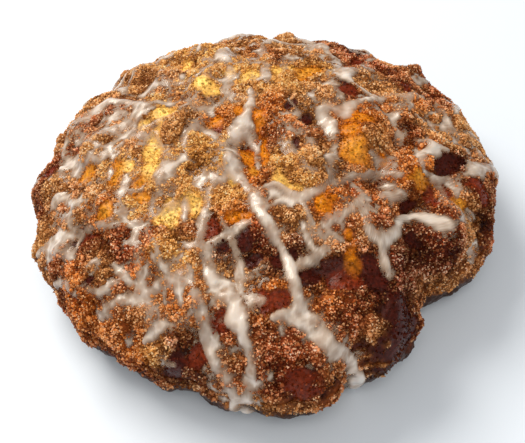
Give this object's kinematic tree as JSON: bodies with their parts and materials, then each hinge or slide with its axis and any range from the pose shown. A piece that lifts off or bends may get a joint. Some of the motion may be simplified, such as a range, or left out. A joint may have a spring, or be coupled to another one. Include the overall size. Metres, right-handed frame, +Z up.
{
  "type": "streusel coffee cake",
  "caption": "Round domed streusel coffee cake, uncut, with crumb clumps and sugar glaze drizzled over the top and sides, resting on a flat base.",
  "frame": {"origin": "middle of the flat base, at the centre of the bounding box seen from above", "axes": "+Z up out of the top of the cake, -Y towards the side the picture is taken from, +X to the right in the picture"},
  "size_m": [0.2532, 0.2498, 0.0846],
  "materials": {
    "streusel_crust": "golden-brown baked crumb, fine and granular, dull with small glints of sugar",
    "bare_dough": "egg-washed crust where no crumb lies, from yellow through orange to dark brown, glossy",
    "sugar_glaze": "set milk-sugar glaze, off-white, partly see-through, smooth and glossy"
  },
  "bodies": {
    "root": {"cake": "streusel_crust"}
  },
  "joints": []
}
